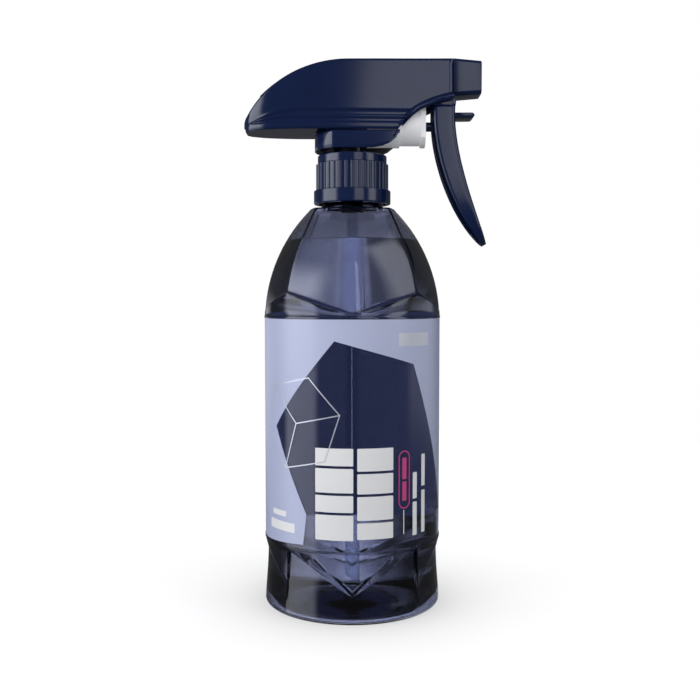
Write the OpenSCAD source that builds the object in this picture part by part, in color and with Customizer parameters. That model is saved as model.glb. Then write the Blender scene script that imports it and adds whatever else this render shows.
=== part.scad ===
// Trigger spray bottle, 500 ml class. +Z is up, +X is towards the nozzle, and the origin is
// on the bottle's axis at the surface it stands on.

/* [Bottle] */
// Radius of the bottle's round body under the label
body_r = 35.36; // [35.2:0.02:35.37]
// Radius of the ring above and below the label
bumper_r = 35.66; // [35.6:0.02:35.8]
// Height of the label's lower edge
label_low = 28.0; // [27.6:0.2:28.4]
// Height of the label's upper edge
label_high = 115.6; // [115:0.2:115.6]
// Thickness of the label film
label_t = 0.12; // [0.08:0.02:0.2]
// Thickness of the bottle's wall in the body
wall = 0.85; // [0.7:0.05:1]
// Radius of the shoulder's curve in side view
shoulder_curve = 62.6; // [62.2:0.1:63]
// How flat each shoulder panel is, from 0 for round to 1 for straight
panel_flat = 0.6; // [0:0.1:0.9]
// Greatest depth of the panels around the base
base_cut = 1.15; // [0.6:0.05:1.3]

/* [Neck and collar] */
// Radius of the neck between the threads
neck_r = 12.4; // [12.3:0.05:12.45]
// Radius of the neck's bore
neck_bore_r = 10.75; // [10.7:0.05:10.9]
// Radius over the neck's thread
thread_r = 13.4; // [13.2:0.05:13.4]
// Rise of the thread in one turn
thread_pitch = 4.23; // [4:0.01:4.5]
// Radius of the collar's lower flange
collar_r = 15.5; // [15.3:0.1:16]
// Number of grip ribs on the collar
rib_count = 36; // [24:1:40]

/* [Pump] */
// Height of the pump cylinder's axis
pump_z = 192.5; // [192.4:0.1:192.6]
// Radius of the pump cylinder's bore
bore_r = 6.2; // [6.1:0.05:6.2]
// Radius of the dip tube
tube_r = 2.15; // [2:0.05:2.15]
// Radius of the inlet ball
ball_r = 1.9; // [1.7:0.05:1.9]
// Number of working coils in the return spring
spring_coils = 5; // [4:1:6]

/* [Trigger and nozzle] */
// Distance of the trigger's pivot from the bottle's axis
pivot_x = 34.8; // [34.6:0.1:35]
// Height of the trigger's pivot
pivot_z = 204.5; // [204.3:0.1:204.7]
// Radius of the trigger's pivot pins
trunnion_r = 1.8; // [1.6:0.05:1.9]
// Half of the trigger's width
trigger_half = 8.1; // [8:0.05:8.2]
// Height of the nozzle's axis
nozzle_z = 211.2; // [211:0.1:211.3]
// Half height of the nozzle's rear end
nozzle_half = 7.4; // [7:0.1:7.5]
// Half width of the nozzle's rear end
nozzle_half_w = 6.5; // [6:0.1:7.4]

/* [Shroud] */
// Half width of the shroud where it is widest
shroud_half = 12.7; // [12.5:0.1:13]
// Height of the shroud's top at the nozzle
shroud_top = 218.0; // [217.8:0.1:218.2]
// Thickness of the shroud's wall
shroud_wall = 1.3; // [1.1:0.1:1.4]

/* [Hidden] */
$fn = 96;

running = 0.06;             // radial clearance of a part that turns or slides in its hole
base_rim = 1.6;             // height of the rounded rim that the bottle stands on
base_panel_top = 26.6;      // height where the base panels end, at their high side
base_panel_low = 11;        // and at their low side
shoulder_low = 116.9;       // the shoulder panels' lower edge, at its low corners
shoulder_step = 8.3;        // and how much higher its high corners are
shoulder_high = 158.9;      // top of the shoulder panels
shoulder_z = 114.9;         // height of the shoulder curve's centre
neck_top = 177.25;
neck_low = 159.6;
collar_low = 161.35;
collar_high = 180.8;
flange_z = 178.5;           // underside of the chassis flange, on the gasket
socket_low = 158;           // lower end of the dip tube's socket
seat_z = 171.9;             // top of the inlet valve's seat
cylinder_back = 6;          // the pump cylinder's closed end
cylinder_front = 29.2;      // and its open end
piston_back = 16;           // the piston's rear face at rest
rod_front = 36.0;           // the piston rod's front end at rest
nozzle_back = 39.9;
nozzle_front = 51.4;

navy = [0.07, 0.10, 0.23];
black = [0.05, 0.05, 0.07];
white = [0.86, 0.86, 0.86];
steel = [0.7, 0.7, 0.72];

function lerp(a, b, t) = a + (b - a) * t;
function bezier(a, b, c, d, n) = [for (i = [0:n]) let (t = i / n, s = 1 - t)
    s * s * s * a + 3 * s * s * t * b + 3 * s * t * t * c + t * t * t * d];
function arc(centre, r, from, to, n) = [for (i = [0:n])
    centre + r * [cos(lerp(from, to, i / n)), sin(lerp(from, to, i / n))]];

// A solid through rings of equal length, closed at both ends
module loft(rings) {
    n = len(rings[0]);
    m = len(rings);
    sides = [for (j = [0:m - 2], i = [0:n - 1]) let (k = (i + 1) % n)
        each [[j * n + i, (j + 1) * n + i, (j + 1) * n + k], [j * n + i, (j + 1) * n + k, j * n + k]]];
    ends = [[for (i = [0:n - 1]) i], [for (i = [n - 1:-1:0]) (m - 1) * n + i]];
    polyhedron([for (r = rings) each r], concat(sides, ends), convexity = 8);
}

// A shaft or hole along X or Y, from one station to another
module rod_x(r, from, to, z, y = 0) {
    translate([from, y, z]) rotate([0, 90, 0]) cylinder(r = r, h = to - from);
}
module rod_y(r, from, to, x, z) {
    translate([x, to, z]) rotate([90, 0, 0]) cylinder(r = r, h = to - from);
}
// An outline in X and Z, given thickness along Y
module side_plate(from, to) {
    translate([0, to, 0]) rotate([90, 0, 0]) linear_extrude(to - from) children();
}

// One thread, as a ridge of trapezoid section that follows a helix. It fades in and out at
// its ends. root and crest are its radii, and root_w and crest_w its widths there.
module thread(root, crest, root_w, crest_w, low, turns) {
    steps = ceil(turns * 30);
    loft([for (i = [0:steps])
        let (
            a = 360 * turns * i / steps,
            z = low + thread_pitch * a / 360,
            tip = lerp(root, crest, min(1, 0.2 + i / 6, 0.2 + (steps - i) / 6)),
            inner = min(root, tip), outer = max(root, tip),
            inner_w = root < crest ? root_w : crest_w, outer_w = root < crest ? crest_w : root_w
        )
        [for (p = [[inner, -inner_w], [inner, inner_w], [outer, outer_w], [outer, -outer_w]])
            [p.x * cos(a), p.x * sin(a), z + p.y / 2]]]);
}

// ---- Bottle ----
// Angles run from the front ridge, at -Y, towards +X.
function on_body(r, a, z) = [r * sin(a), -r * cos(a), z];

// Base panels: eight shallow cuts, mirrored front to back and side to side. Each one is
// deepest at its high side, so it ends there in a step.
function base_ring(row) = [for (p = [0:7], k = [0:6])
    let (
        t = k == 0 ? 0.012 : k == 6 ? 0.988 : k / 6,
        u = p % 4 < 2 ? t : 1 - t,
        top = lerp(base_panel_low, base_panel_top, u),
        deep = top - lerp(1.2, 5, u),
        z = [base_rim, deep / 2, deep, top, 27.2][row],
        cut = [0, 0.5, 1, 0, 0][row] * (base_cut * u + 4 * u * (1 - u))
    )
    on_body(35.6 - cut - (row > 2 ? 0.1 : 0), 45 * (p + t), z)];

// Shoulder panels: the ridges follow one curve, and the panels between them are flatter
function shoulder_r(z) = sqrt(pow(shoulder_curve, 2) - pow(z - shoulder_z, 2)) - (shoulder_curve - 35.4);
function panel_r(f, z) = (shoulder_r(z) + f / 45 * (0.4 + 2 * pow(max(0, z - 145) / 13, 2)))
    * (1 - panel_flat + panel_flat * cos(22.5) / cos(f - 22.5));
function shoulder_ring(row) = [for (k = [0:47])
    let (
        a = 7.5 * k,
        f = 45 - abs(a % 90 - 45),
        edge = shoulder_low + shoulder_step * f / 45,
        z = row == 0 ? 116.2 : row == 1 ? edge : lerp(edge + 0.9, shoulder_high, pow((row - 2) / 8, 0.9))
    )
    on_body(row < 2 ? 35.5 : panel_r(f, z), a, z)];

module bottle_outside() {
    rotate_extrude() polygon(concat([[0, 0]], arc([33.6, 1.8], 1.8, -90, 0, 8), [[34.4, 2.2], [34.4, 4], [0, 4]]));
    loft([for (row = [0:4]) base_ring(row)]);
    translate([0, 0, 27]) cylinder(r = bumper_r, h = label_low - 27);
    translate([0, 0, 27]) cylinder(r = body_r, h = 89);
    translate([0, 0, label_high]) cylinder(r = bumper_r, h = 1.1);
    loft([for (row = [0:10]) shoulder_ring(row)]);
    rotate_extrude() polygon([[0, 158], [15.6, 158], [15.6, 159.1], [15, neck_low],
        [neck_r, neck_low], [neck_r, neck_top], [0, neck_top]]);
    rotate(200) thread(neck_r - 0.3, thread_r, 2, 1, 165.2, 1.75);
}

module bottle_inside() {
    inside_r = body_r - wall;
    // the base's inside rises to a dome, and the shoulder's follows the panels at their flattest
    rotate_extrude() polygon(concat([[0, 7.4], [4, 7.4]], bezier([8, 7.3], [20, 6.5], [24, 1.5], [30, 1.5], 8),
        [[32.6, 3], [33.2, 26], [inside_r, 29], [inside_r, 112]],
        [for (z = [116:5:156]) [shoulder_r(z) * 0.95 - 1.3, z]],
        [[13, 158.4], [neck_bore_r, 159.4], [neck_bore_r, neck_top + 1], [0, neck_top + 1]]));
    // the hollow under the base, inside the ring that the bottle stands on
    rotate_extrude() polygon(concat([[0, -1], [0, 6.4], [3, 6.4]], bezier([6, 6.3], [18, 5.5], [22, 0.6], [27, 0], 8),
        [[27, -1]]));
}

module bottle() {
    color([0.25, 0.28, 0.4, 0.6]) difference() {
        bottle_outside();
        bottle_inside();
    }
}

module label() {
    gap = 0.02;
    color([0.69, 0.72, 0.86]) translate([0, 0, label_low + 0.05]) difference() {
        cylinder(r = body_r + gap + label_t, h = label_high - label_low - 0.1);
        translate([0, 0, -1]) cylinder(r = body_r + gap, h = 200);
    }
}

// ---- Neck closure ----
module collar() {
    rib_low = 166.8;
    rib_high = 177.2;
    rib_r = 14.6;
    valley_r = 14.2;
    inside = thread_r + 0.25;
    color(navy) {
        difference() {
            union() {
                rotate_extrude() polygon(concat([[0, collar_low]],
                    arc([collar_r - 0.5, collar_low + 0.5], 0.5, -90, 0, 4),
                    arc([collar_r - 0.5, rib_low - 0.5], 0.5, 0, 90, 4),
                    [[valley_r, rib_low], [valley_r, rib_high + 0.1], [13.9, rib_high + 0.4]],
                    arc([13.3, collar_high - 0.6], 0.6, 0, 90, 4), [[0, collar_high]]));
                for (i = [0:rib_count - 1]) rotate(i * 360 / rib_count)
                    translate([rib_r - 0.75, 0, rib_low - 0.3]) cylinder(r = 0.75, h = rib_high - rib_low + 0.3, $fn = 24);
            }
            translate([0, 0, collar_low - 1]) cylinder(r = inside, h = 179.85 - collar_low + 1);
            translate([0, 0, collar_low]) cylinder(r = 9.7, h = 30);
        }
        rotate(200) thread(inside + 0.2, neck_r + 0.3, 1.8, 0.9, 165.2 + thread_pitch / 2, 1.6);
    }
}

module gasket() {
    color(white) translate([0, 0, neck_top + 0.05]) difference() {
        cylinder(r = 13.1, h = flange_z - neck_top - 0.05);
        translate([0, 0, -1]) cylinder(r = 10.9, h = 5);
    }
}

// ---- Head ----
module chassis() {
    pivot_plate = 2.1;
    plate_out = 6.3;
    color(black) difference() {
        union() {
            // plug in the neck, flange on the gasket and hub through the collar
            rotate_extrude() polygon([[0, 172], [10.4, 172], [10.4, flange_z], [13.1, flange_z],
                [13.1, 179.7], [9.4, 179.7], [9.4, 181.2], [0, 181.2]]);
            translate([0, 0, socket_low]) cylinder(r = 4.4, h = 20);
            // column, its front leg and the gusset under the cylinder
            translate([0, 0, 180]) cylinder(r = 4.8, h = 34.6);
            translate([4, -4, 180]) cube([1.8, 8, 5.5]);
            side_plate(-1.5, 1.5) polygon([[4, 181], [9, 181], [12.3, 181.8], [16.2, 183.9], [4, 183.9]]);
            // discharge tube and the nozzle's spigot
            rod_x(3.2, 0, 37, nozzle_z);
            rod_x(5.6, 36.2, 37.7, nozzle_z);
            rod_x(4, 37, 46, nozzle_z);
            // pivot arms and the pegs that hold the shroud
            for (side = [-1, 1]) side_plate(side * plate_out - (side > 0 ? pivot_plate : 0),
                side * plate_out + (side > 0 ? 0 : pivot_plate))
                hull() {
                    translate([pivot_x, pivot_z]) circle(r = 2.9, $fn = 32);
                    translate([4, pivot_z - 1]) circle(r = 1.9, $fn = 32);
                    translate([4, nozzle_z]) circle(r = 1.9, $fn = 32);
                    translate([28, nozzle_z]) circle(r = 1.9, $fn = 32);
                }
            rod_y(1.4, -6, 6, 4, pivot_z - 1);
            rod_y(2, -9.3, 9.3, 6, nozzle_z);
            rod_y(1.4, -6, 6, 27, nozzle_z);
        }
        // hollow under the plug, with the air vent beside the column
        translate([0, 0, 171]) difference() {
            cylinder(r = 9.2, h = 6.5);
            translate([0, 0, -1]) cylinder(r = 4.4, h = 10);
        }
        translate([-7, 0, 175]) cylinder(r = 0.8, h = 10);
        // the inlet's way up: socket, ball chamber, riser
        translate([0, 0, socket_low - 1]) cylinder(r = 3.3, h = seat_z - socket_low + 1);
        translate([0, 0, seat_z - 0.1]) cylinder(r = 2.3, h = 4.2);
        translate([0, 0, 172]) cylinder(r = 1.3, h = nozzle_z - 172);
        // sockets of the pump cylinder and of the outlet valve
        rod_x(2.6, 2.6, 7, pump_z);
        rod_x(1.3, 0, 5, pump_z);
        rod_x(0.8, 0, 47, nozzle_z);
        rod_x(1.7, 30, 47, nozzle_z);
        // bearings of the trigger's pins
        rod_y(trunnion_r + running, -10, 10, pivot_x, pivot_z);
    }
}

// Holds the dip tube below and forms the inlet ball's seat above
module tube_retainer() {
    color(white) rotate_extrude() polygon([[tube_r, socket_low + 0.2], [3.3, socket_low + 0.2], [3.3, seat_z - 0.1],
        [2.3, seat_z - 0.1], [1.2, seat_z - 1.2], [1.2, 169], [tube_r, 169]]);
}

module dip_tube() {
    low = 9.5;
    color([0.85, 0.87, 0.9]) difference() {
        translate([0, 0, low]) cylinder(r = tube_r, h = 168.9 - low);
        translate([0, 0, low - 1]) cylinder(r = tube_r - 0.6, h = 200);
        // the end is cut at a slant, so that it can't seal against the base
        translate([-5, -5, low - 10]) rotate([0, -35, 0]) cube([10, 10, 10.6]);
    }
}

// Rests in the seat's 45 degree cone
module inlet_ball() {
    color(steel) translate([0, 0, seat_z - 2.3 + ball_r * sqrt(2) + 0.03]) sphere(r = ball_r);
}

module pump_cylinder() {
    flange_flat = 6.7;
    color(white) difference() {
        union() {
            rod_x(2.6, 2.8, cylinder_back + 1, pump_z);
            rod_x(8.4, cylinder_back, 18.9, pump_z);
            rod_x(7.6, 18, cylinder_front, pump_z);
            rod_x(8.4, 27.4, cylinder_front, pump_z);
        }
        rod_x(1.2, 0, 10, pump_z);
        rod_x(bore_r, 8, 40, pump_z);
        // flats beside the flange let the trigger's sides pass
        for (side = [0, 1]) mirror([0, side, 0])
            translate([27.3, flange_flat, pump_z - 10]) cube([3, 5, 20]);
    }
}

// Seals the cylinder's nipple in the chassis
module cylinder_seal() {
    color(black) difference() {
        rod_x(5.4, 5.2, 5.95, pump_z);
        rod_x(2.7, 4, 7, pump_z);
    }
}

module piston() {
    color(white) translate([piston_back, 0, pump_z]) rotate([0, 90, 0]) rotate_extrude()
        polygon([[0, 0.6], [3, 0.6], [3, 0], [5.4, 0], [5.4, 1.4], [4.6, 1.4], [4.6, 3], [5.4, 3],
            [6.12, 4.4], [5.6, 4.4], [4.9, 3.8], [2.6, 3.8], [2.6, 8], [1.4, 8], [1.4, 2], [0, 2]]);
}

module piston_seal() {
    color(black) translate([piston_back, 0, pump_z]) rotate([0, 90, 0]) rotate_extrude()
        polygon([[4.6, 1.45], [5.9, 1.45], [6.14, 1.9], [6.14, 2.5], [5.9, 2.95], [4.6, 2.95]]);
}

module piston_rod() {
    color(navy) {
        rod_x(1.38, piston_back + 2.1, piston_back + 8.2, pump_z);
        rod_x(1.85, piston_back + 8.1, rod_front - 0.6, pump_z);
        rod_x(1.5, rod_front - 0.7, rod_front, pump_z);
    }
}

// A round wire wound along X
module coil(radius, wire, from, to, turns, z) {
    steps = turns * 20;
    sides = 6;
    loft([for (i = [0:steps]) let (a = 360 * turns * i / steps, x = lerp(from + wire, to - wire, i / steps))
        [for (k = [0:sides - 1]) let (b = -360 * k / sides, r = radius + wire * cos(b))
            [x + wire * sin(b), r * cos(a), z + r * sin(a)]]]);
}

module return_spring() {
    color(steel) coil(3.9, 0.32, 8.05, piston_back - 0.05, spring_coils, pump_z);
}

module outlet_valve() {
    color(white) translate([30, 0, nozzle_z]) rotate([0, 90, 0]) rotate_extrude()
        polygon([[0, 0.05], [1.45, 0.05], [1.45, 0.7], [0.7, 1.1], [0.7, 2.4], [0, 2.4]]);
}

module outlet_spring() {
    color(steel) coil(1.15, 0.2, 31.2, 36.9, 5, nozzle_z);
}

// Swirls the liquid in front of the orifice
module spinner() {
    color(white) difference() {
        union() {
            rod_x(1.68, 37, 45.2, nozzle_z);
            rod_x(1, 45.1, 46.3, nozzle_z);
        }
        for (i = [0:2]) translate([0, 0, nozzle_z]) rotate([120 * i, 0, 0])
            translate([36, 1.1, -0.4]) cube([9.8, 1, 0.8]);
    }
}

module nozzle() {
    chamfer = 1.1;
    // section of the square cap, with its corners cut, at a station along X
    function cap(x, h, w) = [for (p = [[-w, -h + chamfer], [-w + chamfer, -h], [w - chamfer, -h],
        [w, -h + chamfer], [w, h - chamfer], [w - chamfer, h], [-w + chamfer, h], [-w, h - chamfer]])
        [x, p.x, nozzle_z + p.y]];
    color(navy) difference() {
        loft([cap(nozzle_back, nozzle_half, nozzle_half_w),
            cap(nozzle_front - 0.5, nozzle_half - 1.1, nozzle_half_w - 0.9),
            cap(nozzle_front, nozzle_half - 1.5, nozzle_half_w - 1.3)]);
        rod_x(4 + running, nozzle_back - 1, 46.4, nozzle_z);
        rod_x(2.2, 46, 47.4, nozzle_z);
        rod_x(0.4, 47, 60, nozzle_z);
        translate([49.2, 0, nozzle_z]) rotate([0, 90, 0]) cylinder(r1 = 0.8, r2 = 3.2, h = 2.4);
    }
}

module nozzle_seal() {
    color(black) difference() {
        rod_x(2.15, 46.5, 47.3, nozzle_z);
        rod_x(1.1, 46, 48, nozzle_z);
    }
}

// ---- Shroud ----
// Half of its plan outline, from the tail to the front, inset by the wall for the inside
function plan_half(inset) = concat(
    bezier([-43.6 + inset, 0], [-43.6 + inset, 7], [-38, 11.4 - inset], [-22, shroud_half - inset], 8),
    [for (i = [1:8]) bezier([-22, shroud_half - inset], [0, 13.4 - inset], [18, 10.8 - inset],
        [40.6, 10.2 - inset], 8)[i]]);
function plan_ring(inset, z, s) = let (half = plan_half(inset), n = len(half))
    concat([for (p = half) [p.x, -p.y * s, z]], [for (i = [n - 1:-1:1]) [half[i].x, half[i].y * s, z]]);

// Back of the shroud: one arc from the tail to the flat top
function back_line(inset) = arc([-1, 167.8], 49.7 - inset, 146, 90, 12);

module shroud_side() {
    polygon(concat(arc([-40.6, 192.5], 2.9, 250, 180, 5), back_line(0), [[39.6, shroud_top]],
        bezier([39.6, 203.2], [27, 200.5], [20.5, 196], [18.7, 189.4], 10),
        bezier([18.7, 189.4], [17.8, 186], [15.5, 183], [8, 182.3], 6), [[-16, 182.2], [-16, 189.8]]));
}

module shroud() {
    pump_gap = 8.8;         // half width of the opening around the pump cylinder
    skirt_r = 15.1;         // the skirt is round behind and flat at its sides
    skirt_half = 13.2;
    // height and relative width of each level of the side: two flutes run along it
    levels = [[189.8, 0.97], [190.6, 1], [192.2, 0.98], [193, 0.945], [194.2, 0.95], [194.8, 0.98],
        [195.5, 0.945], [197, 0.945], [197.7, 0.985], [199, 0.97], [208, 0.91], [216.6, 0.83], [219, 0.78]];
    inside_levels = [[191.1, 0.94], [206, 0.93], [214, 0.86], [216.7, 0.82]];
    color(navy) difference() {
        intersection() {
            side_plate(-20, 20) shroud_side();
            union() {
                loft([for (level = levels) plan_ring(0, level[0], level[1])]);
                translate([0, 0, 180]) cylinder(r = skirt_r, h = 10);
                translate([0, -skirt_half, 180]) cube([19, 2 * skirt_half, 10]);
            }
        }
        intersection() {
            side_plate(-20, 20) polygon(concat([[-13.7, 180], [-13.7, 191.2], [-41, 191.2]],
                back_line(shroud_wall), [[38.2, shroud_top - 1.4], [38.2, 180]]));
            union() {
                loft([for (level = inside_levels) plan_ring(shroud_wall, level[0], level[1])]);
                translate([0, 0, 179]) cylinder(r = skirt_r - shroud_wall, h = 10.2);
                translate([0, shroud_wall - skirt_half, 179]) cube([30, 2 * (skirt_half - shroud_wall), 10.2]);
                translate([0, 0, 189]) cylinder(r = 11.2, h = 3);
            }
        }
        rod_x(6, 37, 41, nozzle_z);
        // slot for the trigger's head in the front wall, and the way out for the pump cylinder
        translate([30, -8.1, 180]) cube([9, 16.2, 26]);
        translate([5.5, -pump_gap, 183.6]) cube([30, 2 * pump_gap, 8]);
    }
    // raised grip pads on the back
    for (span = [[92.5, 122.5], [125.5, 135]]) color(navy)
        side_plate(-7, 7) polygon(concat(arc([-1, 167.8], 50.2, span[0], span[1], 8),
            arc([-1, 167.8], 49.2, span[1], span[0], 8)));
}

// ---- Trigger ----
module trigger() {
    core_half = 7.75;       // narrower head, inside the shroud
    inner_half = 7.0;
    seam_z = 199.7;
    front = bezier([40.2, 199.7], [38.9, 184], [46.9, 161.9], [53.4, 145.6], 12);
    rear = bezier([52.6, 144.4], [38.5, 160], [31.6, 183], [32.2, seam_z], 12);
    color(navy) difference() {
        union() {
            intersection() {
                side_plate(-trigger_half, trigger_half) polygon(concat(front, rear));
                // the lever narrows to a rounded tip in front view
                rotate([90, 0, 90]) linear_extrude(80) polygon(concat([[-9, 210], [-9, 172]],
                    bezier([-8.1, 168], [-7.6, 154], [-7, 144.4], [0, 144.3], 8),
                    bezier([0, 144.3], [7, 144.4], [7.6, 154], [8.1, 168], 8), [[9, 172], [9, 210]]));
            }
            side_plate(-core_half, core_half) hull() {
                translate([pivot_x, pivot_z]) circle(r = 2.9, $fn = 32);
                polygon([[32.3, seam_z - 1], [39.9, seam_z - 1], [39.3, 202.5], [32.4, seam_z + 1]]);
            }
            // drip guard
            side_plate(-5, 5) polygon([[39, 195.5], [48.3, 195.6], [49, 196.5], [48.3, 197.4], [39, 197.4]]);
        }
        // channel, open to the rear, that ends above the tip
        side_plate(-inner_half, inner_half) polygon(concat(
            bezier([38.4, 200.5], [37.2, 184], [44.8, 164], [47, 156], 10), [[43.6, 153.8]],
            bezier([40, 158], [32, 172], [29, 183], [28, 200.5], 8)));
        side_plate(-6.6, 6.6) translate([20, 199.6]) square([17.9, 12]);
    }
    color(navy) {
        // nose that pushes the piston rod
        intersection() {
            rod_y(2.6, -2.5, 2.5, 38.9, pump_z);
            side_plate(-3, 3) polygon([[30, 180], [39.5, 180], [39.5, 200], [30, 200]]);
        }
        // pivot pins
        for (side = [0, 1]) mirror([0, side, 0]) rod_y(trunnion_r, 4.3, 7, pivot_x, pivot_z);
    }
}

bottle();
label();
collar();
gasket();
chassis();
tube_retainer();
dip_tube();
inlet_ball();
pump_cylinder();
cylinder_seal();
piston();
piston_seal();
piston_rod();
return_spring();
outlet_valve();
outlet_spring();
spinner();
nozzle();
nozzle_seal();
shroud();
trigger();
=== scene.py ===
# %% [markdown]
# # A trigger spray bottle
# A half-litre bottle of blown PET, tinted navy and faceted at its shoulder and base, with a wrap
# label and a moulded spray head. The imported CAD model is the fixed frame: it says where each part
# is and how it moves. This lesson adds the looks. Parts whose shape is already right keep their
# CAD mesh and get a finish. Parts that need rounded edges or thin walls are modelled again here.

import math

import bmesh
import bpy
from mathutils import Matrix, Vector


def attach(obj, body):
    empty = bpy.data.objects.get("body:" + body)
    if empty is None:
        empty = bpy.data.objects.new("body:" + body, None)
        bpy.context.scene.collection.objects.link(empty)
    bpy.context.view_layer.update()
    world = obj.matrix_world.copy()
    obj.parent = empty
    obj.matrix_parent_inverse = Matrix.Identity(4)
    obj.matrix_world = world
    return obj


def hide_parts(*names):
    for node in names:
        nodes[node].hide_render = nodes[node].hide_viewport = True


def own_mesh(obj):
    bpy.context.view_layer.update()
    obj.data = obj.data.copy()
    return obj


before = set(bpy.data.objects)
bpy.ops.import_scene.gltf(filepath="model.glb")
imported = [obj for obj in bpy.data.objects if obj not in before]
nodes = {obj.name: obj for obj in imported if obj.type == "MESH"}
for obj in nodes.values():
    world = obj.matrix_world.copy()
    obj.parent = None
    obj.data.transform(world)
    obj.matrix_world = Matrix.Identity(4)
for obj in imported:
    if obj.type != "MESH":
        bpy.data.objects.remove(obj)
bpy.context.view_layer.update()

# %% [markdown]
# ## Camera
# The view is level and close, as a product picture is taken: a little above the middle of the
# bottle, and tilted down by three degrees.

# %% Camera
MM = 0.001


def add_camera(place_mm, tilt_down, lens):
    data = bpy.data.cameras.new("camera")
    data.lens = lens
    data.sensor_width = 36
    camera = bpy.data.objects.new("camera", data)
    camera.location = [c * MM for c in place_mm]
    camera.rotation_euler = (math.radians(90 - tilt_down), 0, 0)
    bpy.context.scene.collection.objects.link(camera)
    bpy.context.scene.camera = camera
    return camera


camera = add_camera((-0.9, -381.1, 122.6), 3.03, 48.02)
print("camera at", [round(1000 * c, 1) for c in camera.location], "mm, lens", camera.data.lens)

# %% [markdown]
# ## Light
# Glossy plastic shows the room more than it shows its own colour. The room here is dark, with a few
# soft-edged softboxes at the sides and in front, which draw upright bands of light on the plastic.
# Lit paper stands behind and shows only through the tinted bottle. The dark room beside that paper
# is what makes the bottle's edges dark.

# %% Colours and node helper
def linear(code):
    """An sRGB hex colour as the linear colour that Blender's sockets take."""
    values = [int(code[i:i + 2], 16) / 255 for i in (1, 3, 5)]
    return tuple(v / 12.92 if v <= 0.04045 else ((v + 0.055) / 1.055) ** 2.4 for v in values) + (1,)


def add(tree, kind, settings=(), **inputs):
    """Adds a node. An input is a value, or another node's output to link; _ stands for a space."""
    node = tree.nodes.new(kind)
    for name, value in dict(settings).items():
        setattr(node, name, value)
    for name, value in inputs.items():
        name = name.replace("_", " ")
        socket = node.inputs[int(name[3:]) if name.startswith("at ") else name]
        if isinstance(value, bpy.types.NodeSocket):
            tree.links.new(value, socket)
        else:
            socket.default_value = value
    return node


# %% Softboxes
# Each is azimuth (0 in front, 90 at the right), half width, softness of the sides, lower edge, upper
# edge and softness of the ends, all in degrees, and then its glow.
SOFTBOXES = [
    (-146, 11, 6, -9, 3, 4, 0.8),
    (-72, 24, 6, -30, 30, 10, 1.8),
    (-72, 24, 6, 3, 30, 10, 2.5),
    (62, 12, 5, 1, 50, 3, 2.4),
    (103, 24, 8, -7, 3, 4, 0.7),
]
PAPER_BEHIND = [
    (178, 14, 8, 0, 50, 3, 0.9),
    (174, 16, 12, -40, 0, 3, 2.1),
    (180, 5, 4, -40, 3, 3, 1.8),
]


def softbox(tree, turn, rise, azimuth, half_width, side_blur, low, high, end_blur, glow):
    """A soft-edged bright patch of the room, as a value at each direction."""
    off = add(tree, "ShaderNodeMath", {"operation": "SUBTRACT"}, at_0=turn, at_1=math.radians(azimuth))
    round_off = add(tree, "ShaderNodeMath", {"operation": "WRAP"}, at_0=off.outputs[0], at_1=math.pi,
                    at_2=-math.pi)
    beside = add(tree, "ShaderNodeMath", {"operation": "ABSOLUTE"}, at_0=round_off.outputs[0]).outputs[0]
    value = glow
    for angle, dark, lit in ((beside, half_width + side_blur, half_width - side_blur),
                             (rise, low - end_blur, low + end_blur),
                             (rise, high + end_blur, high - end_blur)):
        edge = add(tree, "ShaderNodeMapRange", {"interpolation_type": "SMOOTHSTEP"}, Value=angle,
                   From_Min=math.radians(dark), From_Max=math.radians(lit))
        value = add(tree, "ShaderNodeMath", {"operation": "MULTIPLY"}, at_0=edge.outputs["Result"],
                    at_1=value).outputs[0]
    return value


print("patches of light in front and behind:", len(SOFTBOXES), len(PAPER_BEHIND))

# %% Room
def build_world(dark):
    world = bpy.data.worlds.new("studio")
    world.use_nodes = True
    tree = world.node_tree
    tree.nodes.clear()
    direction = add(tree, "ShaderNodeTexCoord").outputs["Generated"]
    axes = add(tree, "ShaderNodeSeparateXYZ", Vector=direction).outputs
    forward = add(tree, "ShaderNodeMath", {"operation": "MULTIPLY"}, at_0=axes["Y"], at_1=-1.0)
    turn = add(tree, "ShaderNodeMath", {"operation": "ARCTAN2"}, at_0=axes["X"],
               at_1=forward.outputs[0]).outputs[0]
    rise = add(tree, "ShaderNodeMath", {"operation": "ARCSINE"}, at_0=axes["Z"]).outputs[0]
    light = dark
    for box in SOFTBOXES:
        patch = softbox(tree, turn, rise, *box)
        light = add(tree, "ShaderNodeMath", {"operation": "ADD"}, at_0=patch, at_1=light).outputs[0]
    ray = add(tree, "ShaderNodeLightPath").outputs
    for box in PAPER_BEHIND:
        behind = softbox(tree, turn, rise, *box)
        light = add(tree, "ShaderNodeMath", {"operation": "MULTIPLY_ADD"}, at_0=ray["Is Transmission Ray"],
                    at_1=behind, at_2=light).outputs[0]
    room = add(tree, "ShaderNodeBackground", Color=linear("#F6F8FF"), Strength=light)
    white = add(tree, "ShaderNodeBackground", Color=linear("#FFFFFF"), Strength=1.0)
    both = add(tree, "ShaderNodeMixShader", at_0=ray["Is Camera Ray"], at_1=room.outputs[0],
               at_2=white.outputs[0])
    add(tree, "ShaderNodeOutputWorld", Surface=both.outputs[0])
    bpy.context.scene.world = world


def add_lamp(name, place, width, height, glow, in_reflections):
    """A rectangular lamp that faces along +Y. Place and size are in metres."""
    data = bpy.data.lights.new(name, "AREA")
    data.shape = "RECTANGLE"
    data.size = width
    data.size_y = height
    data.energy = glow * math.pi * width * height
    lamp = bpy.data.objects.new(name, data)
    lamp.location = place
    lamp.rotation_euler = (math.radians(90), 0, 0)
    lamp.visible_camera = False
    lamp.visible_glossy = in_reflections
    lamp.visible_transmission = in_reflections
    bpy.context.scene.collection.objects.link(lamp)


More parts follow.
